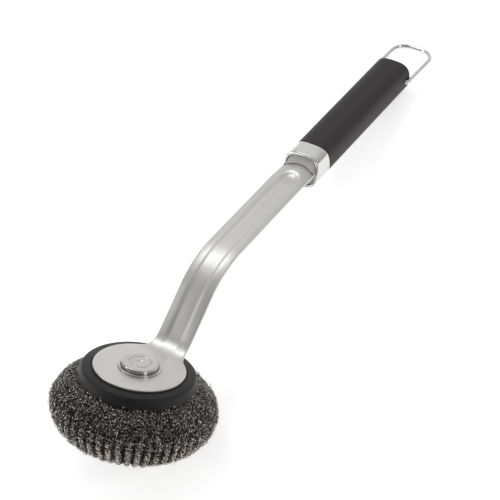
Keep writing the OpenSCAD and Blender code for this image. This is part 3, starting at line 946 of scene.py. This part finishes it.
def make_arm(paints):
    """The arm as one pressed sheet: a triangulated blank, bent, with rounded edges."""
    edge = [(0.45, 0.0), (0.2, -0.06), (0.06, -0.18), (0.0, -0.4)]
    edge += [(d, -ARM_T - z) for d, z in reversed(edge)]
    outline = arm_outline()
    top, triangles, rim, hole = flat_blank(inset(outline, edge[0][0]), TUBE_R + 0.05)
    lift = pressed(top[:, 0], top[:, 1])
    count = len(top)
    blocks = [np.column_stack([top, lift]), np.column_stack([top, lift - ARM_T])]
    faces = triangles + [tuple(v + count for v in f[::-1]) for f in triangles]
    loops = [rim]
    for distance, height in edge[1:-1]:
        ring = inset(outline, distance)
        start = sum(len(b) for b in blocks)
        blocks.append(np.column_stack([ring, pressed(ring[:, 0], ring[:, 1]) + height]))
        loops.append(list(range(start, start + len(ring))))
    loops.append([v + count for v in rim])
    for a, b in [*zip(loops, loops[1:]), (hole, [v + count for v in hole])]:
        faces += band(a, b)
    blank = np.concatenate(blocks)
    uvs = [tuple(blank[v][:2]) for f in faces for v in f]
    points = bend(blank)
    faces, uvs = face_outward(points, faces, uvs)
    add_piece("arm_sheet", points, faces, HEAD, "handle", paints["plate_steel"],
              uvs, ["arm"], 60)


# ---- handle ----


def section(width, height, count=120):
    """Outline across the handle, as a power curve about its middle line."""
    a = 2 * math.pi * (np.arange(count) + 0.5) / count
    y = width / 2 * np.sign(np.cos(a)) * np.abs(np.cos(a)) ** (2 / SECTION_POWER)
    z = height / 2 * np.sign(np.sin(a)) * np.abs(np.sin(a)) ** (2 / SECTION_POWER)
    return y, z


def mouth_plane(v):
    """How far along the handle the collar's mouth is at a height: it leans forward below."""
    return MOUTH_U + MOUTH_LEAN * v


def bar_ring(u, inset, lean=0.0):
    """The handle's section at a place along it, drawn in by an inset, leaning at the mouth."""
    y, z = section(GRIP_W - 2 * inset, GRIP_H - 2 * inset)
    v = z - BAR_DROP
    return np.stack([u + lean * mouth_plane(v), y, v], axis=1)


def make_collar(paints):
    """Bright collar with a thin lip round a mouth that leans forward at the bottom."""
    path = rounded_path([
        (0.3, LIP_W, 0),
        (0.0, LIP_W, 0.25),
        (-0.3, 0.0, 0.6),
        (MOUTH_FADE, 0.0, 0),
    ], 6, 0.2)
    rings = [bar_ring(u, inset, max(0, 1 - max(u, 0) / MOUTH_FADE)) for u, inset in path]
    rings += [bar_ring(u, 0.0) for u in (10.5, 12.5, 14.5, COLLAR_LEN - 0.5)]
    rings += [bar_ring(COLLAR_LEN - 0.15, 0.12), bar_ring(COLLAR_LEN, 0.5)]
    rings += [bar_ring(COLLAR_LEN, 3.0), bar_ring(COLLAR_LEN - 1, 3.0), bar_ring(2.0, LIP_W, 1.0)]
    add_skin("collar_shell", rings, HANDLE, "handle", paints["bright_steel"],
             ["collar"])


def plug_front(v, share=1.0):
    """How far along the handle the plug's face is: it swells forward round the arm."""
    swell = PLUG_SWELL * np.exp(-(((v - PLUG_SWELL_AT) / PLUG_SWELL_H) ** 2))
    return PLUG_BACK + mouth_plane(v) - share * swell


def make_plug(paints):
    """Plug in the collar's mouth: set back from the lip, and swelling forward round the arm."""
    rings = [bar_ring(COLLAR_LEN - 1, PLUG_INSET), bar_ring(1.6, PLUG_INSET, 1.0)]
    outer = bar_ring(0, PLUG_INSET)
    middle = np.array([0, 0, -BAR_DROP])
    for share in (1.0, 0.97, 0.93, 0.88, 0.82, 0.75, 0.66, 0.56, 0.46, 0.35, 0.22, 0.1):
        ring = middle + (outer - middle) * share
        ring[:, 0] = plug_front(ring[:, 2], smoothstep((1 - share) / 0.12))
        rings.append(ring)
    add_skin("plug_face", rings, HANDLE, "handle", paints["plug_plastic"],
             ["collar_plug"], (True, True))


def make_gap_shade(paints):
    """Dark strip lying on the arm where it goes into the plug, as painted shade of the gap between them."""
    start = arm_lengths()[4]
    edge = ARM_W / 2 - 0.6
    rings = []
    for y in np.linspace(-edge, edge, 41):
        top = pressed(start, y) - ARM_DROP
        face = plug_front(top + GAP_SHADE_T / 2)
        near, far = face - 0.1, face + 0.7
        corners = [(near, -0.2), (far, -0.2), (far, GAP_SHADE_T), (near, GAP_SHADE_T)]
        rings.append([(u, y, top + rise) for u, rise in corners])
    add_skin("arm_gap_shade", rings, HANDLE, "handle", paints["core_plastic"],
             (), (True, True))


def make_grip(paints):
    """Soft grip with rounded ends."""
    path = rounded_path([
        (COLLAR_LEN + 0.05, 3.5, 0),
        (COLLAR_LEN + 0.05, 0.0, 0.7),
        (HANDLE_LEN, 0.0, 1.8),
        (HANDLE_LEN, 3.6, 0.3),
        (HANDLE_LEN - 0.5, 3.9, 0),
    ], 6, 0.5)
    stations = []
    for (u0, i0), (u1, i1) in zip(path, path[1:]):
        parts = max(1, int((u1 - u0) / 6))
        shares = [k / parts for k in range(parts)]
        stations += [(u0 + (u1 - u0) * k, i0 + (i1 - i0) * k) for k in shares]
    stations.append(path[-1])
    rings = [bar_ring(u, inset) for u, inset in stations]
    add_skin("grip_sleeve", rings, HANDLE, "handle", paints["grip_rubber"],
             ["grip"], (True, True))


def loop_line():
    """The loop's middle line: a pin, a tight bend, a leg, a round corner and the other half."""
    leg_end = LOOP_REACH - LOOP_CORNER_R
    cross = LOOP_HALF_W - LOOP_CORNER_R
    bend_y = LOOP_HALF_W - LOOP_BEND_R
    half = [(0, LOOP_PIN_IN + 0.4 * i) for i in range(0, 11)]
    half += arc_points((LOOP_BEND_R, bend_y), LOOP_BEND_R, 180, 90, 8)
    half += [(x, LOOP_HALF_W) for x in np.linspace(LOOP_BEND_R, leg_end, 12)[1:-1]]
    half += arc_points((leg_end, cross), LOOP_CORNER_R, 90, 0, 24)
    half += [(LOOP_REACH, y) for y in np.linspace(cross, 0, 5)[1:-1]]
    half = [half[0]] + [b for a, b in zip(half, half[1:]) if math.dist(a, b) > 1e-6]
    return np.array(half + [(LOOP_REACH, 0.0)] + [(x, -y) for x, y in reversed(half)])


def make_loop(paints):
    """Bent round wire with chamfered ends, whose pins turn in the grip's sides."""
    line = loop_line()
    along = np.gradient(line, axis=0)
    along /= np.linalg.norm(along, axis=1, keepdims=True)
    across = np.stack([-along[:, 1], along[:, 0]], axis=1)
    angles = np.linspace(0, 2 * math.pi, 20, endpoint=False)
    last = len(line) - 1

    def ring(i, share=1.0, shift=0.0):
        p = line[i] + along[i] * shift
        flat = p[None, :] + across[i][None, :] * (LOOP_R * share * np.cos(angles))[:, None]
        return np.column_stack([flat, LOOP_R * share * np.sin(angles)])

    rings = [ring(0, 0.55), ring(0, 0.85, 0.12), ring(0, 1.0, 0.35)]
    rings += [ring(i) for i in range(1, last)]
    rings += [ring(last, 1.0, -0.35), ring(last, 0.85, -0.12), ring(last, 0.55)]
    add_skin("loop_wire", rings, LOOP, "loop", paints["bright_steel"],
             ["hanging_loop"], (True, True))


# ---- stage ----


def make_floor():
    """A pale light table: mostly plain diffuse, with a little light of its own."""
    paint = Paint("floor_paint", (0.8, 0.8, 0.8), 0.8)
    paint.tint(paint.noise((3, 3, 3)), 0.995, 1.005)
    paint.shader.inputs["Emission Color"].default_value = (1, 1, 1, 1)
    paint.shader.inputs["Emission Strength"].default_value = FLOOR_GLOW
    mesh = bpy.data.meshes.new("floor")
    h = FLOOR_HALF
    mesh.from_pydata([(-h, -h, 0), (h, -h, 0), (h, h, 0), (-h, h, 0)], [], [(0, 1, 2, 3)])
    mesh.materials.append(paint.material)
    floor = bpy.data.objects.new("floor", mesh)
    bpy.context.scene.collection.objects.link(floor)


def area_light(name, direction, size, brightness):
    """A soft box seen in a direction from the bend of the arm, by its brightness."""
    light = bpy.data.lights.new(name, "AREA")
    light.shape = "RECTANGLE"
    light.size, light.size_y = size
    light.energy = brightness * math.pi * size[0] * size[1]
    holder = bpy.data.objects.new(name, light)
    way = Vector(direction).normalized()
    holder.location = STAGE_MIDDLE + way * LIGHT_DISTANCE
    holder.rotation_euler = way.to_track_quat("Z", "Y").to_euler()
    bpy.context.scene.collection.objects.link(holder)


def make_lights():
    """A studio that is brighter beyond the brush than on the near side, and its soft boxes."""
    world = bpy.data.worlds.new("studio")
    world.use_nodes = True
    bpy.context.scene.world = world
    tree = world.node_tree
    back = tree.nodes["Background"]
    where = tree.nodes.new("ShaderNodeTexCoord")
    facing = tree.nodes.new("ShaderNodeVectorMath")
    facing.operation = "DOT_PRODUCT"
    facing.inputs[1].default_value = BRIGHT_SIDE
    spread = tree.nodes.new("ShaderNodeMapRange")
    spread.inputs["From Min"].default_value = -1
    spread.inputs["From Max"].default_value = 1
    ramp = tree.nodes.new("ShaderNodeValToRGB")
    ramp.color_ramp.interpolation = "B_SPLINE"
    for _ in range(len(SKY_LEVELS) - 2):
        ramp.color_ramp.elements.new(0.5)
    for element, (position, level) in zip(ramp.color_ramp.elements, SKY_LEVELS):
        element.position = position
        element.color = (level, level, level, 1)
    tree.links.new(where.outputs["Generated"], facing.inputs[0])
    tree.links.new(facing.outputs["Value"], spread.inputs["Value"])
    tree.links.new(spread.outputs["Result"], ramp.inputs["Fac"])
    tree.links.new(ramp.outputs["Color"], back.inputs["Color"])
    back.inputs["Strength"].default_value = 1.0
    for name, direction, size, brightness in SOFT_BOXES:
        area_light(name, direction, size, brightness)


def make_camera():
    """The camera, from its place and axes in the upright frame."""
    at = Vector(CAMERA_AT)
    right = Vector(CAMERA_RIGHT).normalized()
    view = Vector(CAMERA_VIEW).normalized()
    up = right.cross(view).normalized()
    right = view.cross(up)
    turn = HEAD.to_3x3().normalized()
    axes = Matrix((turn @ right, turn @ up, turn @ -view)).transposed()
    camera = bpy.data.cameras.new("camera")
    camera.sensor_width = 36
    camera.lens = CAMERA_LENS
    holder = bpy.data.objects.new("camera", camera)
    holder.matrix_world = Matrix.Translation(HEAD @ at) @ axes.to_4x4()
    bpy.context.scene.collection.objects.link(holder)
    bpy.context.scene.camera = holder


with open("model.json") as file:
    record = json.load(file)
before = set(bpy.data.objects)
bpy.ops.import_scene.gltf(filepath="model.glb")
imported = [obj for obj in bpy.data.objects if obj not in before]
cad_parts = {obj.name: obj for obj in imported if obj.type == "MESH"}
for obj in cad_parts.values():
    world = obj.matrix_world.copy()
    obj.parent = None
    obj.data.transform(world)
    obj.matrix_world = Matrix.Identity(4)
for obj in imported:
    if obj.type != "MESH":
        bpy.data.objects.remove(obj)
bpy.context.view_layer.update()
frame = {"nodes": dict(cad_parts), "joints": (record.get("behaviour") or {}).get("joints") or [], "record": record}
HEAD = upright_frame(frame["record"], frame["joints"])
HANDLE = handle_frame(HEAD)
LOOP = loop_frame(frame["joints"])
bpy.context.scene.view_settings.view_transform = "Standard"

paints = make_materials()
paint_cad_nodes(frame, paints)
make_camera()
make_pad(paints)
make_ring(paints)
make_cap(paints)
make_housing(paints)
fold_spring(frame)
make_arm(paints)
make_collar(paints)
make_plug(paints)
make_gap_shade(paints)
make_grip(paints)
make_loop(paints)
make_floor()
make_lights()
